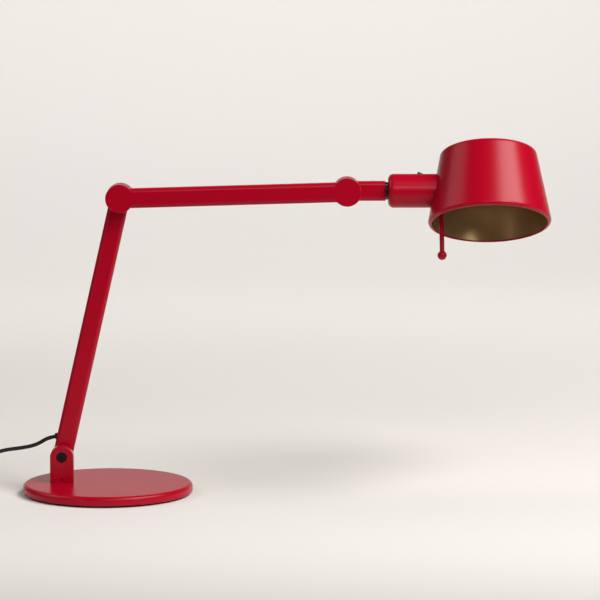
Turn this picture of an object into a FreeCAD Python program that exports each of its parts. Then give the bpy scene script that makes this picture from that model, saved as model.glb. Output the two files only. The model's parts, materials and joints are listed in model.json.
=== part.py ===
import FreeCAD, Part
import math
import os
import re
import Sketcher

# A red desk lamp: a heavy round base, a short post, two long arms and a short wrist arm lapped on friction
# pivots, a swivel, and a conical shade on a cylindrical handle that holds the switch.
# Millimetres. The origin is the centre of the base's underside, +Z is up, and the arms reach along +X.
# The rear plane holds the lower arm and the wrist arm; the front plane holds the post and the upper arm.

SIZES = {
    # drilling: how far a drill runs past what it cuts, and the play around a close and a loose piece
    "through_length": 40,
    "overshoot": 1,
    "close_gap": 0.1,
    "loose_gap": 0.3,
    # base and post
    "base_diameter": 201,
    "base_thickness": 10.6,
    "base_edge_round": 4.5,
    "base_foot_round": 1.5,
    "pad_diameter": 191,
    "pad_thickness": 2,
    "pad_bevel": 0.4,
    "post_offset": 54.4,
    "post_width": 27.5,
    "post_pivot_height": 30.9,
    "base_screw_diameter": 8,
    "base_screw_head_diameter": 16,
    "base_screw_depth": 15,
    "countersink_depth": 4.2,
    "countersink_sunk": 0.2,
    "base_drive_depth": 3,
    "dowel_diameter": 3,
    "dowel_length": 12,
    "dowel_spacing": 18,
    "set_screw_diameter": 4,
    "set_screw_height": 4.2,
    "set_drive_radius": 1.15,
    "set_drive_depth": 1.5,
    # arms
    "bar_width": 23.2,
    "bar_thickness": 15,
    "bar_wall": 2,
    "bar_corner": 5,
    "lap_gap": 0.8,
    "joint_diameter": 33.5,
    "joint_edge_round": 0.8,
    "lower_arm_length": 315,
    "lower_arm_lean": 12.93,
    "upper_arm_length": 267.3,
    "upper_arm_rise": 1.6,
    "short_arm_length": 45.2,
    "lead_diameter": 4.2,
    "channel_inset": 12,
    "wire_hole_inset": 14.2,
    "wire_hole_diameter": 4.6,
    "clamp_width": 8.6,
    "clamp_length": 9,
    "clamp_inset": 16,
    # pivots
    "running_gap": 0.05,
    "shoulder_diameter": 8,
    "thread_diameter": 6,
    "thread_length": 10.5,
    "thread_relief": 0.5,
    "head_diameter": 11.4,
    "head_height": 4.6,
    "head_round": 0.6,
    "socket_corner_radius": 2.9,
    "socket_depth": 2.8,
    "recess_diameter": 12.4,
    "recess_depth": 6.5,
    "bush_diameter": 11.4,
    "spring_thickness": 0.7,
    "washer_diameter": 24,
    "washer_thickness": 0.6,
    # swivel
    "stem_diameter": 10,
    "stem_bore": 7,
    "stem_length": 26,
    "stem_depth": 8.5,
    "collar_diameter": 20.6,
    "collar_length": 3.2,
    "collar_round": 0.5,
    "collar_screw_diameter": 2,
    "collar_screw_lean": 51,
    "collar_screw_sunk": 0.5,
    "stop_pin_diameter": 2,
    "stop_pin_orbit": 8,
    "stop_pin_reach": 2.2,
    "stop_pin_depth": 2.8,
    "stop_groove_sweep": 320,
    "swivel_washer_diameter": 18,
    "swivel_nut_corner_radius": 8,
    "swivel_nut_length": 5,
    # handle and switch
    "handle_start": 48.5,
    "handle_diameter": 40,
    "handle_wall": 2.5,
    "handle_end_wall": 5,
    "handle_end_round": 6.2,
    "handle_blank_gap": 50,
    "switch_start": 80.3,
    "switch_length": 19.4,
    "switch_width": 11,
    "switch_floor": 8,
    "switch_top": 19.1,
    "switch_wall": 1.3,
    "switch_well": 4,
    "rocker_height": 18,
    "rocker_width": 8,
    "rocker_half_length": 7.3,
    "rocker_edge": 2.3,
    "rocker_peak": 4.5,
    "rocker_peak_inset": 1.5,
    "rocker_middle": 1.7,
    "rocker_rest": 0.9,
    "rocker_skirt": 1,
    "rocker_belly": 3.4,
    "rocker_pin_diameter": 1.5,
    # shade
    "head_tilt": 24.17,
    "shade_distance": 167.6,
    "shade_opening_diameter": 146.2,
    "shade_top_diameter": 113.7,
    "shade_drop": 41.15,
    "shade_rise": 46.6,
    "shade_wall": 1.6,
    "shade_top_round": 5,
    "lip_width": 5,
    "lip_height": 1.7,
    "lip_round": 3.6,
    "lip_inner_round": 0.7,
    "reflector_gap": 0.5,
    "reflector_wall": 0.8,
    "reflector_shoulder": 4,
    "reflector_crown_gap": 1.5,
    "reflector_crown_inset": 0.6,
    "reflector_inside_inset": 1,
    "holder_start": 100.5,
    "holder_length": 26.5,
    "holder_diameter": 26,
    "holder_hole_start": 35,
    "socket_diameter": 14.8,
    "socket_floor": 3,
    "contact_radius": 3,
    "contact_base": 0.6,
    "contact_tip_radius": 1.5,
    "contact_height": 1.8,
    "boss_diameter": 34,
    "boss_end": 116.5,
    "boss_length": 20,
    "boss_gap": 0.15,
    "bulb_cap_diameter": 13.9,
    "bulb_cap_start": 5,
    "bulb_cap_tip_radius": 3.5,
    "bulb_cap_taper": 3,
    "bulb_shoulder": 10,
    "bulb_end_flat": 1.5,
    "bulb_diameter": 27,
    "bulb_end": 198,
    "rod_diameter": 5.9,
    "rod_stud_diameter": 3.9,
    "rod_offset": 56.6,
    "ball_diameter": 11,
    "ball_drop": 80.1,
    "ball_flat": 0.6,
    "rod_stud_length": 3.5,
    "rod_shoulder_round": 0.2,
    # terminal block in the handle
    "terminal_start": 63.5,
    "terminal_length": 14,
    "terminal_width": 11,
    "terminal_height": 8,
    "terminal_floor": -13,
    "terminal_hole_radius": 1.6,
    "terminal_hole_depth": 5,
    "terminal_screw_length": 4,
    "wire_diameter": 3,
    "wire_spread": 2.7,
    "wire_first_run": 7,
    "wire_second_run": 8,
    "wire_end_spread": 4.4,
    "wire_end_rise": 3.6,
    # cord
    "cord_diameter": 4.6,
    "bushing_distance": 19.85,
    "bushing_droop": 10,
    "bushing_diameter": 7.8,
    "bushing_reach": 2.2,
    "bushing_depth": 3.6,
    "bushing_round": 1,
    "lead_corner_depth": 16.6,
    "coil_x": -180,
    "coil_y": 42,
    "coil_mid_radius": 27.5,
    "coil_band": 17,
    "coil_height": 9.6,
    "coil_bevel": 1.7,
    "tie_width": 10,
    "tie_thickness": 0.9,
    "plug_x": -208,
    "plug_y": -4,
    "plug_width": 35.3,
    "plug_thickness": 13.7,
    "plug_length": 33,
    "plug_relief_length": 12,
    "plug_relief_diameter": 8.4,
    "plug_pin_diameter": 4,
    "plug_pin_length": 19,
    "plug_pin_spacing": 18.6,
    "plug_pin_depth": 5.5,
    "plug_shoulder": 0.55,
    "plug_side_round": 4,
    "plug_rim_round": 2.5,
}

# The cord's free stretch, from the bushing, down and round to the outside of the coil.
CORD_ROUTE = [
    (-63.7, 15.8, 65.0),
    (-72.0, 15.8, 63.6),
    (-85.8, 15.2, 54.9),
    (-105.3, 26.0, 49.4),
    (-127.4, 48.0, 43.4),
    (-149.0, 64.0, 33.8),
    (-168.0, 79.0, 22.6),
    (-187.0, 87.0, 11.6),
    (-205.5, 81.5, 4.2),
    (-218.0, 64.0, 2.5),
    (-214.5, 44.0, 2.4),
]

# The last stretch, from the top of the coil down into the plug.
TAIL_ROUTE = [
    (-213.4, 44.0, 7.1),
    (-213.2, 30.0, 6.7),
    (-210.6, 13.0, 6.4),
    (-208.0, -4.0, 6.85),
]

DEGREES = math.pi / 180
X = FreeCAD.Vector(1, 0, 0)
Y = FreeCAD.Vector(0, 1, 0)
Z = FreeCAD.Vector(0, 0, 1)

doc = FreeCAD.newDocument("desk_lamp")
sheet = doc.addObject("Spreadsheet::Sheet", "sizes")
for row, (alias, number) in enumerate(SIZES.items(), start=1):
    sheet.set(f"A{row}", alias)
    sheet.set(f"B{row}", str(number))
    sheet.setAlias(f"B{row}", alias)
doc.recompute()

pieces = {}


# Reading the sheet

def size(alias):
    return float(sheet.get(alias))


def linked(text):
    """An expression in which every alias is written out as the sheet's cell."""
    return re.sub(r"[a-z]\w+", lambda word: "sizes." + word.group(0), str(text))


def bind(obj, **texts):
    for name, text in texts.items():
        obj.setExpression(name, linked(text))


# Shapes

def put(obj, x="0", y="0", z="0", turn=None):
    """Turns a shape, then binds the place of its origin to the sheet."""
    obj.Placement = FreeCAD.Placement(FreeCAD.Vector(), turn or FreeCAD.Rotation())
    for axis, text in zip("xyz", (x, y, z)):
        if text != "0":
            obj.setExpression("Placement.Base." + axis, linked(text))
    return obj


def towards(axis):
    return FreeCAD.Rotation(Z, axis)


def block(name, x, y, z):
    """A box between two places on each axis."""
    obj = doc.addObject("Part::Box", name)
    bind(obj, Length=f"({x[1]}) - ({x[0]})", Width=f"({y[1]}) - ({y[0]})", Height=f"({z[1]}) - ({z[0]})")
    return put(obj, x[0], y[0], z[0])


def cylinder(name, radius, length, x="0", y="0", z="0", turn=None):
    obj = doc.addObject("Part::Cylinder", name)
    bind(obj, Radius=radius, Height=length)
    return put(obj, x, y, z, turn)


def prism(name, corner_radius, length, x="0", y="0", z="0", turn=None):
    obj = doc.addObject("Part::Prism", name)
    obj.Polygon = 6
    bind(obj, Circumradius=corner_radius, Height=length)
    return put(obj, x, y, z, turn)


def cone(name, low_radius, high_radius, length, x="0", y="0", z="0", turn=None):
    obj = doc.addObject("Part::Cone", name)
    bind(obj, Radius1=low_radius, Radius2=high_radius, Height=length)
    return put(obj, x, y, z, turn)


def fuse(name, *shapes):
    obj = doc.addObject("Part::MultiFuse", name)
    obj.Shapes = list(shapes)
    obj.Refine = True
    return obj


def cut(name, base, *tools):
    obj = doc.addObject("Part::Cut", name)
    obj.Base = base
    obj.Tool = tools[0] if len(tools) == 1 else fuse(name + "_tools", *tools)
    return obj


def rounded(name, base, radius, wanted):
    """Rounds the edges of a shape for which wanted(edge) is true."""
    doc.recompute()
    obj = doc.addObject("Part::Fillet", name)
    obj.Base = base
    edges = enumerate(base.Shape.Edges, start=1)
    obj.Edges = [(number, radius, radius) for number, edge in edges if wanted(edge)]
    return obj


def draw_outline(sketch, points):
    """A closed outline of straight lines whose corners are all bound to the sheet."""
    count = len(points)
    turns = [2 * math.pi * i / count for i in range(count)]
    corners = [FreeCAD.Vector(math.cos(turn), math.sin(turn), 0) for turn in turns]
    for i in range(count):
        sketch.addGeometry(Part.LineSegment(corners[i], corners[(i + 1) % count]), False)
    for i in range(count):
        sketch.addConstraint(Sketcher.Constraint("Coincident", i, 2, (i + 1) % count, 1))
    for i, corner in enumerate(points):
        for kind, text in zip(("DistanceX", "DistanceY"), corner):
            number = sketch.addConstraint(Sketcher.Constraint(kind, i, 1, 1.0))
            sketch.setExpression(f"Constraints[{number}]", linked(text))


def outlined_body(name, points):
    """A body with an outline sketched on its own XZ plane."""
    body = doc.addObject("PartDesign::Body", name)
    sketch = body.newObject("Sketcher::SketchObject", name + "_outline")
    plane = next(item for item in body.Origin.OriginFeatures if item.Role == "XZ_Plane")
    sketch.AttachmentSupport = [(plane, "")]
    sketch.MapMode = "FlatFace"
    draw_outline(sketch, points)
    return body, sketch


def revolved(name, points):
    """A body turned about its Z axis from (radius, height) corners."""
    body, sketch = outlined_body(name, points)
    turn = body.newObject("PartDesign::Revolution", name + "_turn")
    turn.Profile = sketch
    turn.ReferenceAxis = (sketch, ["V_Axis"])
    turn.Angle = 360
    return body


def ring(name, inner, outer, low, high):
    return revolved(name, [(inner, low), (outer, low), (outer, high), (inner, high)])


def laid(name, body):
    """A turned body laid down, so that its axis runs along X."""
    obj = doc.addObject("Part::Compound", name)
    obj.Links = [body]
    obj.Placement = FreeCAD.Placement(FreeCAD.Vector(), towards(X))
    return obj


def padded(name, points, thickness):
    """A plate with its (x, z) outline, centred on the XZ plane."""
    body, sketch = outlined_body(name, points)
    pad = body.newObject("PartDesign::Pad", name + "_pad")
    pad.Profile = sketch
    pad.SideType = "Symmetric"
    bind(pad, Length=thickness)
    return body


def soften(body, radius, wanted):
    """Rounds edges of a body's last feature."""
    doc.recompute()
    feature = body.Tip
    edges = enumerate(feature.Shape.Edges, start=1)
    names = [f"Edge{number}" for number, edge in edges if wanted(edge)]
    fillet = body.newObject("PartDesign::Fillet", f"{body.Name}_round_{len(body.Group)}")
    fillet.Base = (feature, names)
    bind(fillet, Radius=radius)
    body.Tip = fillet
    return body


def circle_at(radius, height):
    """A test for the full circle of that radius at that height of a turned body."""
    def wanted(edge):
        if not isinstance(edge.Curve, Part.Circle):
            return False
        return abs(edge.Curve.Radius - radius) < 0.01 and abs(edge.Curve.Center.z - height) < 0.01
    return wanted


def routed_path(name, points):
    """Straight runs joined by arcs as large as the runs allow, and a note of the tightest arc."""
    corners = [FreeCAD.Vector(*point) for point in points]
    runs = [after - before for before, after in zip(corners, corners[1:])]
    edges = []
    radii = []
    here = corners[0]
    for corner, run_in, run_out in zip(corners[1:], runs, runs[1:]):
        half_turn = run_in.getAngle(run_out) / 2
        setback = 0.45 * min(run_in.Length, run_out.Length)
        radius = setback / math.tan(half_turn)
        start = corner - run_in / run_in.Length * setback
        end = corner + run_out / run_out.Length * setback
        inward = (run_out / run_out.Length - run_in / run_in.Length).normalize()
        middle = corner + inward * (radius / math.cos(half_turn) - radius)
        edges.append(Part.LineSegment(here, start).toShape())
        edges.append(Part.Arc(start, middle, end).toShape())
        radii.append(radius)
        here = end
    edges.append(Part.LineSegment(here, corners[-1]).toShape())
    path = doc.addObject("Part::Feature", name)
    path.Shape = Part.Wire(edges)
    return path, radii


def tube(name, points, diameter):
    """A round tube along a route."""
    path, radii = routed_path(name + "_path", points)
    start = FreeCAD.Vector(*points[0])
    heading = FreeCAD.Vector(*points[1]) - start
    section = doc.addObject("Part::Circle", name + "_section")
    bind(section, Radius=f"{diameter} / 2")
    section.Placement = FreeCAD.Placement(start, towards(heading))
    sweep = doc.addObject("Part::Sweep", name + "_sweep")
    sweep.Sections = [section]
    sweep.Spine = (path, [f"Edge{number + 1}" for number in range(len(path.Shape.Edges))])
    sweep.Solid = True
    sweep.Frenet = False
    doc.recompute()
    wanted = math.pi * (size(diameter) / 2) ** 2 * path.Shape.Length
    tightest = min(radii) / size(diameter)
    print(f"{name}: length {path.Shape.Length:.1f}, volume {sweep.Shape.Volume:.0f} of {wanted:.0f}, "
          f"radii {', '.join(f'{radius:.1f}' for radius in radii)}, tightest {tightest:.1f} diameters")
    return sweep


def piece(label, obj, frame=FreeCAD.Placement()):
    """Names a finished sub-part and sets it in the lamp."""
    obj.Label = label
    obj.Placement = frame
    pieces[label] = obj
    return obj


# Places of the pivots and the frames of the bodies

rear_y = size("bar_thickness") + size("lap_gap")
plate_top = size("pad_thickness") + size("base_thickness")
half_bar = size("bar_thickness") / 2
lean = size("lower_arm_lean")
rise = size("upper_arm_rise")

pivot = FreeCAD.Vector(-size("post_offset"), 0, plate_top + size("post_pivot_height"))
along_lower = FreeCAD.Vector(math.sin(lean * DEGREES), 0, math.cos(lean * DEGREES))
along_upper = FreeCAD.Vector(math.cos(rise * DEGREES), 0, math.sin(rise * DEGREES))
elbow = pivot + along_lower * size("lower_arm_length")
wrist = elbow + along_upper * size("upper_arm_length")
to_rear = FreeCAD.Vector(0, rear_y, 0)

post_frame = FreeCAD.Placement(pivot, FreeCAD.Rotation())
lower_frame = FreeCAD.Placement(pivot + to_rear, FreeCAD.Rotation(Y, lean - 90))
upper_frame = FreeCAD.Placement(elbow, FreeCAD.Rotation(Y, -rise))
short_frame = FreeCAD.Placement(wrist + to_rear, FreeCAD.Rotation())
head_frame = FreeCAD.Placement(wrist + to_rear, FreeCAD.Rotation(X, -size("head_tilt")))
shade_frame = head_frame * FreeCAD.Placement(FreeCAD.Vector(size("shade_distance"), 0, 0), FreeCAD.Rotation())
along_head = head_frame * FreeCAD.Placement(FreeCAD.Vector(), towards(X))
along_short = short_frame * FreeCAD.Placement(FreeCAD.Vector(), towards(X))


# Base

def make_base():
    plate_disc = revolved("plate_disc", [
        ("0", "pad_thickness"),
        ("base_diameter / 2", "pad_thickness"),
        ("base_diameter / 2", "pad_thickness + base_thickness"),
        ("0", "pad_thickness + base_thickness"),
    ])
    soften(plate_disc, "base_edge_round", circle_at(size("base_diameter") / 2, plate_top))
    soften(plate_disc, "base_foot_round", circle_at(size("base_diameter") / 2, size("pad_thickness")))
    post_x = "-post_offset"
    screw_hole = cylinder("plate_screw_hole", "base_screw_diameter / 2 + loose_gap", "through_length", post_x)
    countersink = cone("plate_countersink", "base_screw_head_diameter / 2 + loose_gap",
                       "base_screw_diameter / 2 + loose_gap", "countersink_depth", post_x, z="pad_thickness")
    dowel_holes = [
        cylinder(f"plate_dowel_hole_{side}", "dowel_diameter / 2 + running_gap", "through_length",
                 f"{post_x} {side} dowel_spacing / 2",
                 z="pad_thickness + base_thickness - dowel_length / 2 - loose_gap")
        for side in "+-"
    ]
    piece("base_plate", cut("plate", plate_disc, screw_hole, countersink, *dowel_holes))
    piece("base_pad", revolved("pad", [
        ("0", "0"), ("pad_diameter / 2 - pad_bevel", "0"), ("pad_diameter / 2", "pad_bevel"),
        ("pad_diameter / 2", "pad_thickness"), ("0", "pad_thickness"),
    ]))

    screw = revolved("countersunk", [
        ("0", "pad_thickness + countersink_sunk"),
        ("base_screw_head_diameter / 2", "pad_thickness + countersink_sunk"),
        ("base_screw_diameter / 2", "pad_thickness + countersink_depth"),
        ("base_screw_diameter / 2", "pad_thickness + base_thickness + base_screw_depth"),
        ("0", "pad_thickness + base_thickness + base_screw_depth"),
    ])
    drive = prism("countersunk_drive", "socket_corner_radius", "countersink_sunk + base_drive_depth",
                  z="pad_thickness")
    piece("base_screw", cut("base_screw_cut", screw, drive), FreeCAD.Placement(
        FreeCAD.Vector(pivot.x, 0, 0), FreeCAD.Rotation()))
    dowels = [
        cylinder(f"dowel_{side}", "dowel_diameter / 2", "dowel_length", f"{side}dowel_spacing / 2")
        for side in "+-"
    ]
    piece("post_dowels", fuse("dowels", *dowels), FreeCAD.Placement(
        FreeCAD.Vector(pivot.x, 0, plate_top - size("dowel_length") / 2), FreeCAD.Rotation()))


def make_post():
    slab = block("post_slab", ("-post_width / 2", "post_width / 2"),
                 ("-bar_thickness / 2", "bar_thickness / 2"), ("-post_pivot_height", "0"))
    crown = cylinder("post_crown", "post_width / 2", "bar_thickness", y="bar_thickness / 2", turn=towards(-Y))
    stock = fuse("post_stock", slab, crown)
    foot = -size("post_pivot_height")

    def on_outline(edge):
        middle = edge.CenterOfMass
        return abs(abs(middle.y) - half_bar) < 0.01 and middle.z > foot + 0.01

    softened = rounded("post_softened", stock, size("joint_edge_round"), on_outline)
    bore = cylinder("post_bore", "bush_diameter / 2 + running_gap", "bar_thickness + 2 * overshoot",
                    y="-bar_thickness / 2 - overshoot", turn=towards(Y))
    recess = cylinder("post_recess", "recess_diameter / 2", "recess_depth + overshoot",
                      y="recess_depth - bar_thickness / 2", turn=towards(-Y))
    screw_hole = cylinder("post_screw_hole", "base_screw_diameter / 2 + running_gap",
                          "base_screw_depth + overshoot + loose_gap", z="-post_pivot_height - overshoot")
    dowel_holes = [
        cylinder(f"post_dowel_hole_{side}", "dowel_diameter / 2 + running_gap",
                 "dowel_length / 2 + overshoot + loose_gap", f"{side}dowel_spacing / 2",
                 z="-post_pivot_height - overshoot")
        for side in "+-"
    ]
    set_hole = cylinder("post_set_hole", "set_screw_diameter / 2 + running_gap", "bar_thickness / 2",
                        y="0", z="set_screw_height - post_pivot_height", turn=towards(-Y))
    piece("post", cut("post_cut", softened, bore, recess, screw_hole, set_hole, *dowel_holes), post_frame)

    grub_length = "bar_thickness / 2 - base_screw_diameter / 2 - close_gap - loose_gap"
    grub = cylinder("grub", "set_screw_diameter / 2", grub_length)
    drive = prism("grub_drive", "set_drive_radius", "set_drive_depth + overshoot",
                  z=f"{grub_length} - set_drive_depth")
    grub_foot = FreeCAD.Vector(pivot.x, -size("base_screw_diameter") / 2 - size("close_gap"),
                               plate_top + size("set_screw_height"))
    piece("post_set_screw", cut("grub_cut", grub, drive), FreeCAD.Placement(grub_foot, towards(-Y)))


# Arms: in each arm's own frame, X runs along the bar from its first pivot and Y is the pivot axis

lead_start = FreeCAD.Placement(X * size("wire_hole_inset"), towards(X))


def runs_along(edge):
    return edge.BoundBox.YLength < 0.01 and edge.BoundBox.ZLength < 0.01


def bar_stock(name, start, end):
    """The plain bar with its long edges rounded."""
    bar = block(name + "_bar", (start, end), ("-bar_thickness / 2", "bar_thickness / 2"),
                ("-bar_width / 2", "bar_width / 2"))
    return rounded(name + "_rounded_bar", bar, size("bar_corner"), runs_along)


def joint_disc(name, x, diameter="joint_diameter"):
    disc = cylinder(name + "_disc", f"{diameter} / 2", "bar_thickness", x, "bar_thickness / 2",
                    turn=towards(-Y))
    return rounded(name + "_round_disc", disc, size("joint_edge_round"),
                   lambda edge: isinstance(edge.Curve, Part.Circle))


def channel(name, start, end):
    """The hollow for the lead inside a bar, which leaves an even wall."""
    hollow = block(name + "_channel", (start, end),
                   ("bar_wall - bar_thickness / 2", "bar_thickness / 2 - bar_wall"),
                   ("bar_wall - bar_width / 2", "bar_width / 2 - bar_wall"))
    return rounded(name + "_rounded_channel", hollow, size("bar_corner") - size("bar_wall"), runs_along)


def bush_hole(name, x):
    """The bore for the bush, and the recess for the screw's head in the rear face."""
    bore = cylinder(name + "_bore", "bush_diameter / 2 + running_gap", "bar_thickness + 2 * overshoot", x,
                    "-bar_thickness / 2 - overshoot", turn=towards(Y))
    recess = cylinder(name + "_recess", "recess_diameter / 2", "recess_depth + overshoot", x,
                      "bar_thickness / 2 - recess_depth", turn=towards(Y))
    return bore, recess


def thread_hole(name, x, lap_side):
    """The blind hole for the screw's thread, from the face that laps the next bar."""
    return cylinder(name + "_thread", "thread_diameter / 2 + running_gap",
                    "thread_length + thread_relief + overshoot", x,
                    f"{'-' if lap_side > 0 else ''}(thread_length + thread_relief - bar_thickness / 2)",
                    turn=towards(Y * lap_side))


def wire_hole(name, x, lap_side):
    """The small hole through which the lead crosses to the next bar."""
    return cylinder(name + "_wire_hole", "wire_hole_diameter / 2", "bar_wall + 2 * overshoot", x,
                    f"{'' if lap_side > 0 else '-'}(bar_thickness / 2 - bar_wall - overshoot)",
                    turn=towards(Y * lap_side))


def make_lower_arm():
    far = "lower_arm_length"
    stock = fuse("lower_stock", bar_stock("lower", "0", far), joint_disc("lower_foot", "0", "bar_width"),
                 joint_disc("lower_head", far))
    hollow = channel("lower", "channel_inset", f"{far} - channel_inset")
    bushing_turn = FreeCAD.Rotation(Y, -lean - size("bushing_droop"))
    bushing_hole = cylinder("lower_bushing_hole", "bushing_diameter / 2 + running_gap", "through_length / 2",
                            "bushing_distance", z="bar_width / 2", turn=bushing_turn)
    outward = bushing_turn.multVec(Z)
    hole_depth = size("bushing_depth") + size("bar_wall") + size("overshoot")
    inward = FreeCAD.Placement(outward * -hole_depth, FreeCAD.Rotation())
    sunk_hole = doc.addObject("Part::Compound", "lower_bushing_tool")
    sunk_hole.Links = [bushing_hole]
    sunk_hole.Placement = inward
    piece("lower_arm", cut("lower_cut", stock, hollow, sunk_hole, thread_hole("lower", "0", -1),
                           *bush_hole("lower", far), wire_hole("lower", f"{far} - wire_hole_inset", -1)),
          lower_frame)

    exit_point = FreeCAD.Vector(size("bushing_distance"), 0, size("bar_width") / 2)
    mouth = exit_point + outward * size("bushing_reach")
    bushing = ring("bushing_turned", "lead_diameter / 2 + running_gap", "bushing_diameter / 2",
                   "-bushing_reach - bushing_depth", "0")
    soften(bushing, "bushing_round", circle_at(size("bushing_diameter") / 2, 0))
    piece("cord_bushing", bushing, lower_frame * FreeCAD.Placement(mouth, bushing_turn))

    inner_end = mouth - outward * (size("bushing_reach") + size("lead_corner_depth"))
    lead_end = size("lower_arm_length") - size("wire_hole_inset")
    lead_route = [tuple(mouth - outward * size("close_gap")), tuple(inner_end), (lead_end, 0, inner_end.z)]
    piece("lower_arm_lead", tube("lower_lead", lead_route, "lead_diameter"), lower_frame)

    clamp_block = doc.addObject("Part::Box", "clamp_block")
    bind(clamp_block, Length="clamp_length", Width="clamp_width", Height="clamp_width")
    put(clamp_block, "bushing_distance + clamp_inset", "-clamp_width / 2", "-clamp_width / 2")
    clamp_bore = cylinder("clamp_bore", "lead_diameter / 2 + running_gap", "through_length",
                          "bushing_distance", turn=towards(X))
    lift = FreeCAD.Placement(FreeCAD.Vector(0, 0, inner_end.z), FreeCAD.Rotation())
    piece("cord_clamp", cut("clamp_cut", clamp_block, clamp_bore), lower_frame * lift)


def make_upper_arm():
    far = "upper_arm_length"
    stock = fuse("upper_stock", bar_stock("upper", "0", far), joint_disc("upper_near", "0"),
                 joint_disc("upper_far", far))
    piece("upper_arm", cut("upper_cut", stock, channel("upper", "channel_inset", f"{far} - channel_inset"),
                           thread_hole("upper_near", "0", 1), thread_hole("upper_far", far, 1),
                           wire_hole("upper_near", "wire_hole_inset", 1),
                           wire_hole("upper_far", f"{far} - wire_hole_inset", 1)), upper_frame)
    lead = cylinder("upper_lead", "lead_diameter / 2", f"{far} - 2 * wire_hole_inset")
    piece("upper_arm_lead", lead, upper_frame * lead_start)


def make_short_arm():
    end = "short_arm_length"
    stock = fuse("short_stock", bar_stock("short", "0", end), joint_disc("short_near", "0"))
    stem_hole = cylinder("short_stem_hole", "stem_diameter / 2 + running_gap", "through_length",
                         f"{end} - channel_inset", turn=towards(X))
    pin_hole = cylinder("short_pin_hole", "stop_pin_diameter / 2 + running_gap", "through_length",
                        f"{end} - stop_pin_depth - loose_gap", z="-stop_pin_orbit", turn=towards(X))
    hollow = channel("short", "channel_inset", f"{end} - stem_depth + overshoot")
    piece("short_arm", cut("short_cut", stock, hollow, stem_hole, pin_hole,
                           wire_hole("short", "wire_hole_inset", -1), *bush_hole("short", "0")), short_frame)

    piece("swivel_stem", ring("stem", "stem_bore / 2", "stem_diameter / 2", "short_arm_length - stem_depth",
                              "short_arm_length - stem_depth + stem_length"), along_short)
    collar = ring("collar_ring", "stem_diameter / 2 + running_gap", "collar_diameter / 2", "short_arm_length",
                  "short_arm_length + collar_length")
    for face in (size("short_arm_length"), size("short_arm_length") + size("collar_length")):
        soften(collar, "collar_round", circle_at(size("collar_diameter") / 2, face))
    collar_body = laid("collar_laid", collar)
    collar_hole = cylinder("collar_pin_hole", "stop_pin_diameter / 2 + running_gap", "through_length",
                           f"{end} - overshoot", z="-stop_pin_orbit", turn=towards(X))
    lean_angle = size("collar_screw_lean") * DEGREES
    screw_ways = [FreeCAD.Vector(0, -math.cos(lean_angle), side * math.sin(lean_angle)) for side in (1, -1)]
    middle = f"{end} + collar_length / 2"
    screw_holes = [
        cylinder(f"collar_screw_hole_{number}", "collar_screw_diameter / 2 + running_gap", "through_length",
                 middle, turn=towards(way))
        for number, way in enumerate(screw_ways)
    ]
    piece("swivel_collar", cut("collar_cut", collar_body, collar_hole, *screw_holes), short_frame)
    screws = [
        cylinder(f"collar_screw_{number}", "collar_screw_diameter / 2", "collar_diameter / 2", middle,
                 turn=towards(way))
        for number, way in enumerate(screw_ways)
    ]
    reach = ring("collar_screw_reach", "stem_diameter / 2 + running_gap",
                 "collar_diameter / 2 - collar_screw_sunk", end, f"{end} + collar_length")
    trimmed = doc.addObject("Part::Common", "collar_screws_trimmed")
    trimmed.Base = fuse("collar_screw_pair", *screws)
    trimmed.Tool = laid("collar_screw_reach_laid", reach)
    piece("collar_set_screws", trimmed, short_frame)
    pin = cylinder("stop_pin", "stop_pin_diameter / 2", "stop_pin_depth + collar_length + stop_pin_reach")
    pin_foot = FreeCAD.Vector(size("short_arm_length") - size("stop_pin_depth"), 0, -size("stop_pin_orbit"))
    piece("swivel_stop_pin", pin, short_frame * FreeCAD.Placement(pin_foot, towards(X)))

    washer_start = "handle_start + handle_end_wall + close_gap"
    nut_start = f"{washer_start} + spring_thickness + close_gap"
    piece("swivel_washer", ring("swivel_spring", "stem_diameter / 2 + running_gap",
                                "swivel_washer_diameter / 2", washer_start, nut_start), along_short)
    nut = prism("nut_hexagon", "swivel_nut_corner_radius", "swivel_nut_length", nut_start, turn=towards(X))
    nut_bore = cylinder("nut_bore", "stem_diameter / 2 + running_gap", "through_length",
                        nut_start + " - through_length / 2", turn=towards(X))
    piece("swivel_nut", cut("nut_cut", nut, nut_bore), short_frame)
    lead = cylinder("short_lead", "lead_diameter / 2", f"{end} - stem_depth + stem_length - wire_hole_inset")
    piece("short_arm_lead", lead, short_frame * lead_start)


# Pivots: each set stands on the face that takes the thread, with the screw's head along +Z

def make_pivot(name, frame):
    """A shoulder screw, its bush, the spring washer under its head, and the washer between the bars."""
    bush_low = "lap_gap"
    bush_high = "lap_gap + bar_thickness - recess_depth"
    head_low = f"{bush_high} + spring_thickness + close_gap"
    head_high = f"{head_low} + head_height"
    turned = revolved(name + "_screw_turned", [
        ("0", "-thread_length"),
        ("thread_diameter / 2", "-thread_length"),
        ("thread_diameter / 2", "0"),
        ("shoulder_diameter / 2", "0"),
        ("shoulder_diameter / 2", head_low),
        ("head_diameter / 2", head_low),
        ("head_diameter / 2", head_high),
        ("0", head_high),
    ])
    doc.recompute()
    soften(turned, "head_round", circle_at(size("head_diameter") / 2, turned.Shape.BoundBox.ZMax))
    drive = prism(name + "_drive", "socket_corner_radius", "socket_depth + overshoot",
                  z=f"{head_high} - socket_depth")
    piece(name + "_screw", cut(name + "_screw_cut", turned, drive), frame)
    rings = {
        "bush": ("running_gap", "bush_diameter", bush_low, bush_high),
        "spring_washer": ("loose_gap", "head_diameter", bush_high, f"{bush_high} + spring_thickness"),
        "friction_washer": ("loose_gap", "washer_diameter", "0", "washer_thickness"),
    }
    for part, (gap, outer, low, high) in rings.items():
        turned_ring = ring(f"{name}_{part}_ring", f"shoulder_diameter / 2 + {gap}", f"{outer} / 2", low, high)
        piece(f"{name}_{part}", turned_ring, frame)


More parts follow.
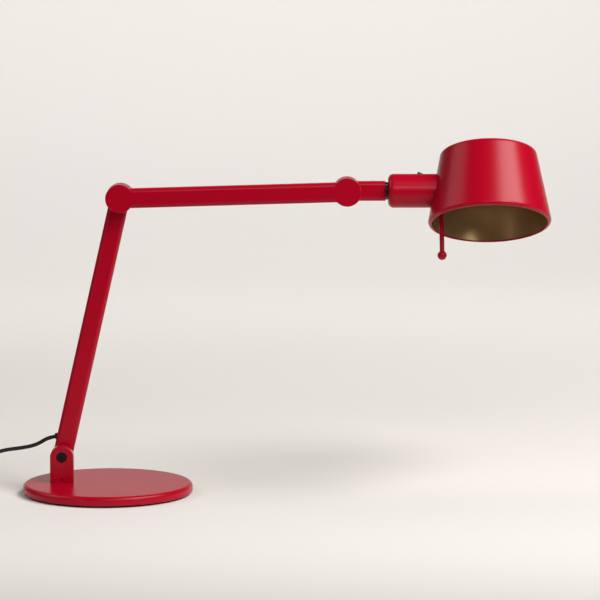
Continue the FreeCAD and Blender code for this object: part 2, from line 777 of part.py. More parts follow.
def make_pivots():
    front_face = FreeCAD.Vector(0, rear_y - half_bar, 0)
    rear_face = FreeCAD.Vector(0, half_bar, 0)
    make_pivot("base_pivot", FreeCAD.Placement(pivot + front_face, towards(-Y)))
    make_pivot("elbow", FreeCAD.Placement(elbow + rear_face, towards(Y)))
    make_pivot("wrist", FreeCAD.Placement(wrist + rear_face, towards(Y)))


# Head: in its own frame, X runs along the handle and Z is the shade's axis, turned back from upright

SLOPE = "((shade_opening_diameter - shade_top_diameter) / 2 / (shade_drop + shade_rise))"


def make_handle():
    turned = revolved("handle_turned", [
        ("stem_diameter / 2 + running_gap", "handle_start"),
        ("handle_diameter / 2", "handle_start"),
        ("handle_diameter / 2", "shade_distance - handle_blank_gap"),
        ("handle_diameter / 2 - handle_wall", "shade_distance - handle_blank_gap"),
        ("handle_diameter / 2 - handle_wall", "handle_start + handle_end_wall"),
        ("stem_diameter / 2 + running_gap", "handle_start + handle_end_wall"),
    ])
    soften(turned, "handle_end_round", circle_at(size("handle_diameter") / 2, size("handle_start")))
    tube_body = laid("handle_tube", turned)
    shade_space = cone("handle_cope", "shade_opening_diameter / 2 + close_gap",
                       "shade_top_diameter / 2 + close_gap", "shade_drop + shade_rise", "shade_distance",
                       z="-shade_drop")
    opening = block("handle_switch_opening",
                    ("switch_start - close_gap", "switch_start + switch_length + close_gap"),
                    ("-switch_width / 2 - close_gap", "switch_width / 2 + close_gap"),
                    ("switch_floor", "switch_floor + through_length"))
    start = (-90 - size("stop_groove_sweep") / 2) * DEGREES
    first = FreeCAD.Vector(0, math.cos(start), math.sin(start))
    sweep = FreeCAD.Rotation(first, X.cross(first), X, "ZXY")
    sector = cylinder("groove_sector", "stop_pin_orbit + stop_pin_diameter / 2 + loose_gap",
                      "overshoot + stop_pin_reach + loose_gap", "handle_start - overshoot", turn=sweep)
    bind(sector, Angle="stop_groove_sweep")
    core = cylinder("groove_core", "stop_pin_orbit - stop_pin_diameter / 2 - loose_gap", "through_length",
                    "handle_start - 2 * overshoot", turn=towards(X))
    groove = cut("stop_groove", sector, core)
    piece("handle", cut("handle_cut", tube_body, shade_space, opening, groove), head_frame)


def make_switch():
    low, high = "switch_start", "switch_start + switch_length"
    box = block("switch_box", (low, high), ("-switch_width / 2", "switch_width / 2"),
                ("switch_floor", "switch_top"))
    well = block("switch_well", (f"{low} + switch_wall", f"{high} - switch_wall"),
                 ("-rocker_width / 2 - loose_gap", "rocker_width / 2 + loose_gap"),
                 ("switch_floor + switch_well", "switch_floor + through_length"))
    middle = f"{low} + switch_length / 2"
    pin_hole = cylinder("switch_pin_hole", "rocker_pin_diameter / 2 + running_gap", "through_length", middle,
                        "-through_length / 2", "rocker_height", turn=towards(Y))
    piece("switch_housing", cut("switch_cut", box, well, pin_hole), head_frame)
    seat = FreeCAD.Vector(size("switch_start") + size("switch_length") / 2, 0, size("rocker_height"))
    pin = cylinder("rocker_pin_turned", "rocker_pin_diameter / 2", "switch_width - 2 * close_gap")
    pin_foot = seat + Y * (size("close_gap") - size("switch_width") / 2)
    piece("rocker_pin", pin, head_frame * FreeCAD.Placement(pin_foot, towards(Y)))

    rocker = padded("rocker_plate", [
        ("-rocker_half_length", "-rocker_skirt"),
        ("-rocker_half_length", "rocker_edge"),
        ("rocker_peak_inset - rocker_half_length", "rocker_peak"),
        ("0", "rocker_middle"),
        ("rocker_half_length", "rocker_rest"),
        ("rocker_half_length", "-rocker_skirt"),
        ("rocker_half_length / 3", "-rocker_belly"),
        ("-rocker_half_length / 3", "-rocker_belly"),
    ], "rocker_width")
    rocker_hole = cylinder("rocker_hole", "rocker_pin_diameter / 2 + running_gap", "through_length",
                           y="-through_length / 2", turn=towards(Y))
    piece("switch_rocker", cut("rocker_cut", rocker, rocker_hole),
          head_frame * FreeCAD.Placement(seat, FreeCAD.Rotation()))


def holder_hole(name):
    """The hole in the side of the shade that the lampholder passes through."""
    return cylinder(name, "holder_diameter / 2 + loose_gap", "through_length", "-holder_hole_start",
                    turn=towards(-X))


def make_shade():
    """The shell, with its thick lip turned inward, and the reflector that lies inside it."""
    top, bottom = "shade_rise", "-shade_drop"
    big, small = "shade_opening_diameter / 2", "shade_top_diameter / 2"
    shell = revolved("shade_turned", [
        (big, bottom),
        (small, top),
        ("0", top),
        ("0", f"{top} - shade_wall"),
        (f"{small} + {SLOPE} * shade_wall - shade_wall", f"{top} - shade_wall"),
        (f"{big} - {SLOPE} * lip_height - shade_wall", f"{bottom} + lip_height"),
        (f"{big} - lip_width", f"{bottom} + lip_height"),
        (f"{big} - lip_width", bottom),
    ])
    top_radius, lip_radius = size("shade_top_diameter") / 2, size("shade_opening_diameter") / 2
    height = size("shade_drop") + size("shade_rise")
    inner_radius = top_radius - size("shade_wall") * (1 - (lip_radius - top_radius) / height)
    soften(shell, "shade_top_round", circle_at(top_radius, size("shade_rise")))
    soften(shell, "shade_top_round - shade_wall",
           circle_at(inner_radius, size("shade_rise") - size("shade_wall")))
    soften(shell, "lip_round", circle_at(lip_radius, -size("shade_drop")))
    soften(shell, "lip_inner_round", circle_at(lip_radius - size("lip_width"), -size("shade_drop")))
    shade_hole = holder_hole("shade_hole")
    piece("shade", cut("shade_cut", shell, shade_hole), shade_frame)

    gap = "(shade_wall + reflector_gap)"
    inside = "(shade_wall + reflector_gap + reflector_wall)"
    crown = f"{top} - shade_wall - reflector_crown_gap"
    shoulder = f"{crown} - reflector_shoulder"
    shoulder_radius = f"{small} + {SLOPE} * (shade_wall + reflector_crown_gap + reflector_shoulder)"
    rim = f"{bottom} + lip_height + close_gap"
    rim_radius = f"{big} - {SLOPE} * (lip_height + close_gap)"
    skin = revolved("reflector_turned", [
        (f"{rim_radius} - {gap}", rim),
        (f"{shoulder_radius} - {gap}", shoulder),
        (f"{small} - {gap} - reflector_crown_inset", crown),
        ("0", crown),
        ("0", f"{crown} - reflector_wall"),
        (f"{small} - {inside} - reflector_inside_inset", f"{crown} - reflector_wall"),
        (f"{shoulder_radius} - {inside}", shoulder),
        (f"{rim_radius} - {inside}", rim),
    ])
    piece("reflector", cut("reflector_cut", skin, holder_hole("reflector_hole")), shade_frame)


def make_lampholder():
    high = "holder_start + holder_length"
    floor = "holder_start + socket_floor"
    piece("lampholder", revolved("holder_turned", [
        ("0", "holder_start"), ("holder_diameter / 2", "holder_start"), ("holder_diameter / 2", high),
        ("socket_diameter / 2", high), ("socket_diameter / 2", floor), ("0", floor),
    ]), along_head)
    piece("centre_contact", revolved("contact_turned", [
        ("0", floor), ("contact_radius", floor), ("contact_radius", f"{floor} + contact_base"),
        ("contact_tip_radius", f"{floor} + contact_height"), ("0", f"{floor} + contact_height"),
    ]), along_head)
    blank = cylinder("boss_blank", "boss_diameter / 2", "boss_length",
                     "boss_end - boss_length - shade_distance", turn=towards(X))
    bore = cylinder("boss_bore", "holder_diameter / 2 + running_gap", "2 * through_length",
                    "boss_end - through_length - shade_distance", turn=towards(X))
    stud_room = "(rod_stud_length + loose_gap)"
    rod_hole = cylinder("boss_rod_hole", "rod_stud_diameter / 2 + running_gap", f"2 * {stud_room}",
                        "-rod_offset", z=f"-boss_diameter / 2 - {stud_room}")
    washer = cut("boss_cut", blank, bore, rod_hole)
    depth = "(shade_wall + reflector_gap + reflector_wall + boss_gap)"
    inside = cone("boss_cope", f"shade_opening_diameter / 2 - {depth}", f"shade_top_diameter / 2 - {depth}",
                  "shade_drop + shade_rise", z="-shade_drop")
    boss = doc.addObject("Part::Common", "boss_common")
    boss.Base = washer
    boss.Tool = inside
    piece("shade_boss", boss, shade_frame)

    cap_low = "holder_start + bulb_cap_start"
    cap_high = f"{high} - close_gap"
    piece("bulb_cap", revolved("cap_turned", [
        ("0", cap_low), ("bulb_cap_tip_radius", cap_low),
        ("bulb_cap_diameter / 2", f"{cap_low} + bulb_cap_taper"),
        ("bulb_cap_diameter / 2", cap_high), ("0", cap_high),
    ]), along_head)
    glass = revolved("glass_turned", [
        ("0", cap_high), ("bulb_cap_diameter / 2", cap_high),
        ("bulb_diameter / 2", f"{cap_high} + bulb_shoulder"),
        ("bulb_diameter / 2", "bulb_end"), ("0", "bulb_end"),
    ])
    soften(glass, "bulb_diameter / 2 - bulb_end_flat", circle_at(size("bulb_diameter") / 2, size("bulb_end")))
    piece("bulb_envelope", glass, along_head)


def make_guide_rod():
    rod_frame = shade_frame * FreeCAD.Placement(FreeCAD.Vector(-size("rod_offset"), 0, 0), FreeCAD.Rotation())
    low = "ball_diameter / 2 - ball_drop - ball_flat"
    shoulder = "-boss_diameter / 2 - loose_gap"
    stud = "rod_stud_diameter / 2"
    piece("guide_rod", revolved("rod_turned", [
        ("0", f"{low} - rod_stud_length"), (stud, f"{low} - rod_stud_length"), (stud, low),
        ("rod_diameter / 2 - rod_shoulder_round", low), ("rod_diameter / 2", shoulder), (stud, shoulder),
        (stud, f"{shoulder} + rod_stud_length"), ("0", f"{shoulder} + rod_stud_length"),
    ]), rod_frame)
    ball = doc.addObject("Part::Sphere", "ball_turned")
    bind(ball, Radius="ball_diameter / 2")
    put(ball, z="-ball_drop")
    flat = cylinder("ball_flat", "ball_diameter / 2", "ball_diameter", z=low)
    hole = cylinder("ball_hole", "rod_stud_diameter / 2 + running_gap", "ball_diameter",
                    z=f"{low} - rod_stud_length - close_gap")
    piece("guide_ball", cut("ball_cut", ball, flat, hole), rod_frame)


def make_wiring():
    start, end = "terminal_start", "terminal_start + terminal_length"
    body = block("terminal_body", (start, end), ("-terminal_width / 2", "terminal_width / 2"),
                 ("terminal_floor", "terminal_floor + terminal_height"))
    holes = [
        cylinder(f"terminal_hole_{side}", "terminal_hole_radius", "through_length",
                 f"{start} + terminal_length / 2", f"{side}terminal_width / 4",
                 "terminal_floor + terminal_height - terminal_hole_depth")
        for side in "+-"
    ]
    piece("terminal_block", cut("terminal_cut", body, *holes), head_frame)
    screws = [
        cylinder(f"terminal_screw_{side}", "terminal_hole_radius - close_gap", "terminal_screw_length",
                 f"{start} + terminal_length / 2", f"{side}terminal_width / 4",
                 "terminal_floor + terminal_height - terminal_hole_depth + close_gap")
        for side in "+-"
    ]
    piece("terminal_screws", fuse("terminal_screw_pair", *screws), head_frame)

    block_end = size("terminal_start") + size("terminal_length")
    loose = size("loose_gap")
    holder_face = size("holder_start") - loose
    height = size("terminal_floor") + size("terminal_height") / 2
    end_height = height + size("wire_end_rise")
    near, far = size("wire_spread"), size("wire_end_spread")
    first_bend = block_end + size("wire_first_run")
    second_bend = first_bend + size("wire_second_run")
    wires = [
        tube(f"holder_wire_{number}", [
            (block_end + loose, side * near, height), (first_bend, side * near, height),
            (second_bend, side * far, end_height), (holder_face, side * far, end_height),
        ], "wire_diameter")
        for number, side in enumerate((-1, 1))
    ]
    piece("holder_wires", fuse("holder_wire_pair", *wires), head_frame)


# Cord, coil and plug

def make_cord():
    piece("cord_free", tube("cord_free_tube", CORD_ROUTE, "cord_diameter"))
    piece("cord_tail", tube("cord_tail_tube", TAIL_ROUTE, "cord_diameter"))

    inner, outer = "coil_mid_radius - coil_band / 2", "coil_mid_radius + coil_band / 2"
    coil_frame = FreeCAD.Placement(FreeCAD.Vector(size("coil_x"), size("coil_y"), 0), FreeCAD.Rotation())
    piece("cord_coil", revolved("coil_turned", [
        (inner, "coil_bevel"), (f"{inner} + coil_bevel", "0"),
        (f"{outer} - coil_bevel", "0"), (outer, "coil_bevel"),
        (outer, "coil_height - coil_bevel"), (f"{outer} - coil_bevel", "coil_height"),
        (f"{inner} + coil_bevel", "coil_height"), (inner, "coil_height - coil_bevel"),
    ]), coil_frame)
    half = "tie_width / 2"
    strap = block("tie_strap", (f"{inner} - tie_thickness", f"{outer} + tie_thickness"), ("-" + half, half),
                  ("0", "coil_height + tie_thickness"))
    window = block("tie_window", (f"{inner} - close_gap", f"{outer} + close_gap"),
                   (f"-{half} - overshoot", f"{half} + overshoot"),
                   ("tie_thickness", "coil_height + running_gap"))
    piece("coil_tie", cut("tie_cut", strap, window), coil_frame)


def make_plug():
    """The plug lies flat and points away along -Y; its frame's origin is where the cord enters."""
    plug_frame = FreeCAD.Placement(FreeCAD.Vector(size("plug_x"), size("plug_y"), size("plug_thickness") / 2),
                                   FreeCAD.Rotation())
    relief = cylinder("plug_relief", "plug_relief_diameter / 2", "plug_relief_length + 3 * overshoot",
                      turn=towards(-Y))
    outline = padded("plug_outline", [
        ("-plug_relief_diameter / 2 - overshoot", "0"),
        ("-plug_width / 2", "-plug_length * plug_shoulder"),
        ("-plug_width / 2", "-plug_length"),
        ("plug_width / 2", "-plug_length"),
        ("plug_width / 2", "-plug_length * plug_shoulder"),
        ("plug_relief_diameter / 2 + overshoot", "0"),
    ], "plug_thickness")

    def stands_up(edge):
        return edge.BoundBox.XLength < 0.01 and edge.BoundBox.ZLength < 0.01

    soften(outline, "plug_side_round", stands_up)
    face_z = -size("plug_length")

    def is_rim(edge):
        flat = edge.BoundBox.YLength < 0.01
        return flat and not (abs(edge.BoundBox.ZMin - face_z) < 0.01 and edge.BoundBox.ZLength < 0.01)

    soften(outline, "plug_rim_round", is_rim)
    lying = doc.addObject("Part::Compound", "plug_lying")
    lying.Links = [outline]
    lying.Placement = FreeCAD.Placement(Y * -size("plug_relief_length"), FreeCAD.Rotation(X, -90))
    pin_start = "-plug_relief_length - plug_length"
    pin_holes = [
        cylinder(f"plug_pin_hole_{side}", "plug_pin_diameter / 2 + running_gap", "through_length",
                 f"{side}plug_pin_spacing / 2", f"{pin_start} + plug_pin_depth + close_gap", turn=towards(-Y))
        for side in "+-"
    ]
    piece("plug_body", cut("plug_cut", fuse("plug_stock", relief, lying), *pin_holes), plug_frame)
    pins = [
        cylinder(f"plug_pin_{side}", "plug_pin_diameter / 2", "plug_pin_length + plug_pin_depth",
                 f"{side}plug_pin_spacing / 2", f"{pin_start} + plug_pin_depth", turn=towards(-Y))
        for side in "+-"
    ]
    piece("plug_pins", fuse("plug_pin_pair", *pins), plug_frame)


def check(items):
    for obj in doc.Objects:
        if "Invalid" in obj.State or "Error" in obj.State:
            raise RuntimeError(f"{obj.Name} failed: {obj.State}")
    for label, obj in items.items():
        shape = obj.Shape
        if shape.isNull() or not shape.isValid() or not shape.Solids:
            raise RuntimeError(f"{label} has no valid solid")


make_base()
make_post()
make_lower_arm()
make_upper_arm()
make_short_arm()
make_pivots()
make_handle()
make_switch()
make_shade()
make_lampholder()
make_guide_rod()
make_wiring()
make_cord()
make_plug()
doc.recompute()
check(pieces)

os.makedirs("parts", exist_ok=True)
for label, obj in pieces.items():
    obj.Shape.exportStep(f"parts/{label}.step")
print(f"{len(pieces)} pieces; base pivot {pivot}, elbow {elbow}, wrist {wrist}")
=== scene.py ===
import bpy
import json
import math
import numpy as np
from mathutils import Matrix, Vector


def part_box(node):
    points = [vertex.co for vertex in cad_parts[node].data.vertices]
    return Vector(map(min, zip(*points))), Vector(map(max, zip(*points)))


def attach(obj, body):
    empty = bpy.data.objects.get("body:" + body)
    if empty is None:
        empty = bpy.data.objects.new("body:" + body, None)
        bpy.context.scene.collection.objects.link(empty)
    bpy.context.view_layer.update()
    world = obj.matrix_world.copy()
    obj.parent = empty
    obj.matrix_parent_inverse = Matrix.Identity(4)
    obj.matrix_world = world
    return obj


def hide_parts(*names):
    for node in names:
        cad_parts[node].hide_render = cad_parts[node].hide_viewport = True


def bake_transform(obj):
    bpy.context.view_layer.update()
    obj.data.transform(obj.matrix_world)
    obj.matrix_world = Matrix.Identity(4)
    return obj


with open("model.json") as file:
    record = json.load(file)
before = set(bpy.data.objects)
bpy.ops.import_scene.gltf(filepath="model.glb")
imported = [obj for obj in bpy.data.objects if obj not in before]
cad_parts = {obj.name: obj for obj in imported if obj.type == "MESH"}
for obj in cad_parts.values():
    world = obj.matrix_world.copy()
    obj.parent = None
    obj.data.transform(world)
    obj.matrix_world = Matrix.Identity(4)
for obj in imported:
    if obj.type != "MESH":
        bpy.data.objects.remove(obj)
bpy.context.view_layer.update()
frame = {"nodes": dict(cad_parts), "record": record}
scene = bpy.context.scene
MM = 0.001
FULL_TURN = 2 * math.pi


# Camera: a long lens that looks slightly down, almost straight along +Y

CAMERA_PLACE = Vector((0.20756, -3.74433, 0.68920))
CAMERA_DOWN = math.radians(6.987)
CAMERA_TURN = math.radians(0.31)
SENSOR = 36
LENS = 192
CLIP_NEAR = 0.1
CLIP_FAR = 60

camera = bpy.data.objects.new("camera", bpy.data.cameras.new("camera"))
camera.data.sensor_width = SENSOR
camera.data.lens = LENS
camera.data.clip_start = CLIP_NEAR
camera.data.clip_end = CLIP_FAR
camera.location = CAMERA_PLACE
looking = Vector((
    math.sin(CAMERA_TURN) * math.cos(CAMERA_DOWN),
    math.cos(CAMERA_TURN) * math.cos(CAMERA_DOWN),
    -math.sin(CAMERA_DOWN),
))
camera.rotation_euler = looking.to_track_quat("-Z", "Y").to_euler()
scene.collection.objects.link(camera)
scene.camera = camera
scene.view_settings.view_transform = "Standard"


# Meshes

def new_piece(name, mesh):
    piece = bpy.data.objects.new(name, mesh)
    scene.collection.objects.link(piece)
    mesh.shade_smooth()
    return piece


def rings_mesh(name, rings, closed=False):
    """A skin over rings of points, each with as many points as the others.

    It either closes on itself or has a cap on each end.
    """
    count = len(rings[0])
    points = [point for ring in rings for point in ring]
    faces = []
    spans = len(rings) if closed else len(rings) - 1
    for i in range(spans):
        here, there = i * count, (i + 1) % len(rings) * count
        for j in range(count):
            k = (j + 1) % count
            faces.append((here + j, here + k, there + k, there + j))
    if not closed:
        faces.append(tuple(reversed(range(count))))
        faces.append(tuple((len(rings) - 1) * count + j for j in range(count)))
    mesh = bpy.data.meshes.new(name)
    mesh.from_pydata(points, [], faces)
    mesh.validate()
    return mesh


def along(path):
    """For each point of a path: the point, and the directions across the path and up from it."""
    path = [Vector(point) for point in path]
    for i, point in enumerate(path):
        heading = (path[min(i + 1, len(path) - 1)] - path[max(i - 1, 0)]).normalized()
        up = (Vector((0, 0, 1)) - heading * heading.z).normalized()
        yield point, heading.cross(up), up


def softened(value, power):
    """A sine or cosine raised to a power, which turns a circle into a squarer outline."""
    return math.copysign(abs(value) ** power, value)


# Cord: a flat twin lead that stands on its narrow side, from the bushing to the coil and the plug

CORD_ROUTE = [
    (-0.0637, 0.0158, 0.0650),
    (-0.0720, 0.0158, 0.0636),
    (-0.0858, 0.0152, 0.0549),
    (-0.1053, 0.0260, 0.0494),
    (-0.1274, 0.0480, 0.0434),
    (-0.1490, 0.0640, 0.0338),
    (-0.1680, 0.0790, 0.0226),
    (-0.1870, 0.0870, 0.0116),
    (-0.2055, 0.0815, 0.0042),
    (-0.2180, 0.0640, 0.0025),
    (-0.2145, 0.0440, 0.0024),
]
TAIL_ROUTE = [
    (-0.2134, 0.0440, 0.0071),
    (-0.2132, 0.0300, 0.0067),
    (-0.2106, 0.0130, 0.0064),
    (-0.2080, -0.0040, 0.00685),
]
CORD_WIDTH = 4.6 * MM
CORD_THICKNESS = 2.8 * MM
CORD_SQUARENESS_UP = 0.85
CORD_SQUARENESS_ACROSS = 0.8
WAIST_DEPTH = 0.2
WAIST_REACH = 0.55 * MM
COIL_CENTRE = Vector((-0.180, 0.042, 0))
COIL_TURNS = 9
POINTS_PER_TURN = 16
STEPS_PER_POINT = 5
COIL_INNER = 20.6 * MM
LOWER_TURNS = 4.4
CLIMB_TURNS = 0.3
COIL_UNEVENNESS = 0.12 * MM
UNEVENNESS_PER_TURN = 2.3
LOWER_HEIGHT = CORD_ROUTE[-1][2]
UPPER_HEIGHT = TAIL_ROUTE[0][2]
# On a circle, a spline of order 3 has this share of its control points' radius
INSIDE = (3 + math.cos(FULL_TURN / POINTS_PER_TURN)) / 4


def coil_points():
    """The coil's turns: inward on the table, up at the inside, and outward on the first layer."""
    start = Vector(CORD_ROUTE[-1]) - COIL_CENTRE
    end = Vector(TAIL_ROUTE[0]) - COIL_CENTRE
    outer, last = start.xy.length, end.xy.length
    first_angle = math.atan2(start.y, start.x)
    climb_end = LOWER_TURNS + CLIMB_TURNS
    middle = LOWER_TURNS + CLIMB_TURNS / 2
    radius_turns = [0, LOWER_TURNS, middle, COIL_TURNS]
    radii = [outer, COIL_INNER, COIL_INNER, last]
    climb_turns = [LOWER_TURNS, climb_end]
    heights = [LOWER_HEIGHT, UPPER_HEIGHT]
    for step in range(1, COIL_TURNS * POINTS_PER_TURN):
        turn = step / POINTS_PER_TURN
        radius = float(np.interp(turn, radius_turns, radii))
        height = float(np.interp(turn, climb_turns, heights))
        angle = first_angle + turn * 2 * math.pi
        wobble = COIL_UNEVENNESS * math.sin(UNEVENNESS_PER_TURN * angle + turn)
        reach = (radius + wobble) / INSIDE
        yield COIL_CENTRE + Vector((reach * math.cos(angle), reach * math.sin(angle), height))


def spline_path(name, points):
    """Points along the smooth line that has those control points."""
    curve = bpy.data.curves.new(name, "CURVE")
    curve.dimensions = "3D"
    curve.resolution_u = STEPS_PER_POINT
    spline = curve.splines.new("NURBS")
    spline.points.add(len(points) - 1)
    for control, point in zip(spline.points, points):
        control.co = (*point, 1)
    spline.order_u = 3
    spline.use_endpoint_u = True
    holder = bpy.data.objects.new(name, curve)
    mesh = bpy.data.meshes.new_from_object(holder)
    path = [vertex.co.copy() for vertex in mesh.vertices]
    bpy.data.objects.remove(holder)
    bpy.data.curves.remove(curve)
    bpy.data.meshes.remove(mesh)
    return path


def twin_section(count=20):
    """The outline of two cores side by side: (across, up) for each point."""
    for i in range(count):
        angle = FULL_TURN * i / count
        up = CORD_WIDTH / 2 * softened(math.cos(angle), CORD_SQUARENESS_UP)
        waist = 1 - WAIST_DEPTH * math.exp(-((up / WAIST_REACH) ** 2))
        across = CORD_THICKNESS / 2 * softened(math.sin(angle), CORD_SQUARENESS_ACROSS)
        yield across * waist, up


cord_path = spline_path("cord_line", CORD_ROUTE + list(coil_points()) + TAIL_ROUTE)
section = list(twin_section())
cord = new_piece("mains_cord", rings_mesh("mains_cord", [
    [point + across * side + up * lift for side, lift in section]
    for point, across, up in along(cord_path)
]))


# Strain relief on the plug

RELIEF_LENGTH = 24 * MM
RELIEF_THIN_END = 2.75 * MM
RELIEF_GROWTH = 1.35 * MM
RELIEF_SIDES = 24
RIBS = 6
RINGS_PER_RIB = 8
GROOVE_DEPTH = 0.42 * MM
GROOVE_RINGS = range(3, 6)
PLAIN_END_RINGS = 3


def relief_sizes():
    """The radii of a taper with ribs, which starts thin and is thickest at the plug."""
    last = RIBS * RINGS_PER_RIB
    for i in range(last + 1):
        taper = RELIEF_THIN_END + RELIEF_GROWTH * (i / last)
        plain = i <= PLAIN_END_RINGS or i >= last - PLAIN_END_RINGS
        grooved = i % RINGS_PER_RIB in GROOVE_RINGS and not plain
        yield taper - (GROOVE_DEPTH if grooved else 0)


def end_of(path, length, count):
    """That many points, evenly spaced, over the last metres of a path."""
    distances = [0.0]
    for here, there in zip(path, path[1:]):
        distances.append(distances[-1] + (there - here).length)
    columns = [[point[axis] for point in path] for axis in range(3)]
    for distance in np.linspace(distances[-1] - length, distances[-1], count):
        yield Vector([float(np.interp(distance, distances, column)) for column in columns])


def relief_rings(path, sizes):
    """Rings round a path, one at each of its points, with those radii."""
    for (point, across, up), radius in zip(along(path), sizes):
        yield [
            point + (across * math.cos(a) + up * math.sin(a)) * radius
            for a in (FULL_TURN * j / RELIEF_SIDES for j in range(RELIEF_SIDES))
        ]


sizes = list(relief_sizes())
tail_end = end_of(cord_path, RELIEF_LENGTH, len(sizes))
relief_mesh = rings_mesh("plug_strain_relief", list(relief_rings(tail_end, sizes)))
plug_relief = new_piece("plug_strain_relief", relief_mesh)


# Tie round the coil, as large as the tie in the CAD

TIE_INSET = 0.5 * MM
TIE_HALF_WIDTH = 4.6 * MM
TIE_HALF_THICKNESS = 0.42 * MM
TIE_LOOP_SQUARENESS = 0.45
TIE_BAND_SQUARENESS = 0.6
TIE_RINGS = 44
TIE_SIDES = 12
tie_low, tie_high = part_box("coil_tie")
tie_mid = (tie_low + tie_high) / 2


def tie_rings():
    """The cross-sections of a soft flat band, one after another round the coil's turns."""
    half_x = (tie_high[0] - tie_low[0]) / 2 - TIE_INSET
    half_z = (tie_high[2] - tie_low[2]) / 2 - TIE_INSET
    for i in range(TIE_RINGS):
        angle = FULL_TURN * i / TIE_RINGS
        x = half_x * softened(math.cos(angle), TIE_LOOP_SQUARENESS)
        z = half_z * softened(math.sin(angle), TIE_LOOP_SQUARENESS)
        centre = Vector((tie_mid[0] + x, tie_mid[1], tie_mid[2] + z))
        outward = Vector((math.cos(angle) / half_x, 0, math.sin(angle) / half_z)).normalized()
        ring = []
        for j in range(TIE_SIDES):
            turn = FULL_TURN * j / TIE_SIDES
            across = TIE_HALF_WIDTH * softened(math.cos(turn), TIE_BAND_SQUARENESS)
            out = TIE_HALF_THICKNESS * softened(math.sin(turn), TIE_BAND_SQUARENESS)
            point = centre + Vector((0, across, 0)) + outward * out
            point.z = max(point.z, 0.0)
            ring.append(point)
        yield ring


coil_band = new_piece("coil_band", rings_mesh("coil_band", list(tie_rings()), closed=True))

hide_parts("cord_free", "cord_coil", "cord_tail")
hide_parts("coil_tie")
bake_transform(cord)
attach(plug_relief, "base")
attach(coil_band, "base")
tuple(CORD_ROUTE[0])
[tuple(point) for point in cord_path]


# Materials

def shader(name):
    """An empty node material: the material, its tree and its surface shader."""
    material = bpy.data.materials.new(name)
    material.use_nodes = True
    tree = material.node_tree
    tree.nodes.clear()
    output = tree.nodes.new("ShaderNodeOutputMaterial")
    surface = tree.nodes.new("ShaderNodeBsdfPrincipled")
    tree.links.new(surface.outputs["BSDF"], output.inputs["Surface"])
    return material, tree, surface


def feed(tree, socket, value):
    """Gives a socket a number, a colour or another node's output."""
    if isinstance(value, bpy.types.NodeSocket):
        tree.links.new(value, socket)
    elif isinstance(value, tuple):
        socket.default_value = (*value, 1)
    else:
        socket.default_value = value


def add(tree, kind, **inputs):
    """A new node, with its inputs given by name."""
    node = tree.nodes.new("ShaderNode" + kind)
    for key, value in inputs.items():
        feed(tree, node.inputs[key.replace("_", " ")], value)
    return node


def noise(tree, place, grain, detail):
    """Noise whose features are about that many metres across."""
    return add(tree, "TexNoise", Vector=place, Scale=1 / grain, Detail=detail).outputs["Fac"]


NOISE_LOW = 0.3
NOISE_HIGH = 0.7


def ranged(tree, value, out_low, out_high):
    """The middle of a noise's range, stretched to those two values."""
    mapped = add(tree, "MapRange", Value=value, From_Min=NOISE_LOW, From_Max=NOISE_HIGH,
                 To_Min=out_low, To_Max=out_high)
    return mapped.outputs["Result"]


def eased(tree, value, low, high):
    """A smooth step, which is 0 up to the low value and 1 from the high one."""
    mapped = add(tree, "MapRange", Value=value, From_Min=low, From_Max=high)
    mapped.interpolation_type = "SMOOTHSTEP"
    return mapped.outputs["Result"]


def blend_colours(tree, factor, first, second):
    mix = tree.nodes.new("ShaderNodeMix")
    mix.data_type = "RGBA"
    for socket, value in ((mix.inputs[0], factor), (mix.inputs[6], first), (mix.inputs[7], second)):
        feed(tree, socket, value)
    return mix.outputs[2]


def shaded(colour, share):
    return tuple(channel * share for channel in colour)


MOTTLE_PER_GRAIN = 40
MOTTLE_DETAIL = 4.0
GRAIN_DETAIL = 3.0


def surface_material(name, colour, roughness, metallic=0.0, grain=0.4 * MM, relief=0.04 * MM,
                     mottle=0.06, roughness_spread=0.06, **settings):
    """One colour with a fine grain that stands in relief and, if mottled, an uneven tone and gloss."""
    material, tree, surface = shader(name)
    place = add(tree, "TexCoord").outputs["Object"]
    fine = noise(tree, place, grain, GRAIN_DETAIL)
    bump = add(tree, "Bump", Strength=1.0, Distance=relief, Height=fine)
    feed(tree, surface.inputs["Normal"], bump.outputs["Normal"])
    if mottle:
        broad = noise(tree, place, grain * MOTTLE_PER_GRAIN, MOTTLE_DETAIL)
        tone = ranged(tree, broad, 0.0, 1.0)
        dark, light = shaded(colour, 1 - mottle), shaded(colour, 1 + mottle)
        colour = blend_colours(tree, tone, dark, light)
        roughness = ranged(tree, broad, roughness - roughness_spread, roughness + roughness_spread)
    feed(tree, surface.inputs["Base Color"], colour)
    feed(tree, surface.inputs["Roughness"], roughness)
    feed(tree, surface.inputs["Metallic"], metallic)
    for key, value in settings.items():
        feed(tree, surface.inputs[key.replace("_", " ")], value)
    return material


METAL_GRAIN = 0.25 * MM
METAL_RELIEF = 0.006 * MM

red_paint = surface_material(
    "red_paint", (0.355, 0.0003, 0.0130), 0.28, grain=0.7 * MM, relief=0.004 * MM,
    mottle=0, Specular_IOR_Level=0.18)
gold_skin = surface_material(
    "gold_skin", (0.37, 0.25, 0.12), 0.36, metallic=0.9, grain=0.5 * MM, relief=0.006 * MM,
    mottle=0.03, roughness_spread=0.01)
black_steel = surface_material(
    "black_steel", (0.003, 0.003, 0.0035), 0.3, grain=0.3 * MM, relief=METAL_RELIEF,
    Specular_IOR_Level=0.25)
plain_steel = surface_material(
    "plain_steel", (0.55, 0.54, 0.52), 0.28, metallic=1.0, grain=METAL_GRAIN, relief=METAL_RELIEF)
brass = surface_material(
    "brass", (0.70, 0.50, 0.20), 0.3, metallic=1.0, grain=METAL_GRAIN, relief=METAL_RELIEF)
nickel = surface_material(
    "bright_nickel", (0.75, 0.72, 0.67), 0.2, metallic=1.0, grain=METAL_GRAIN, relief=0.004 * MM)
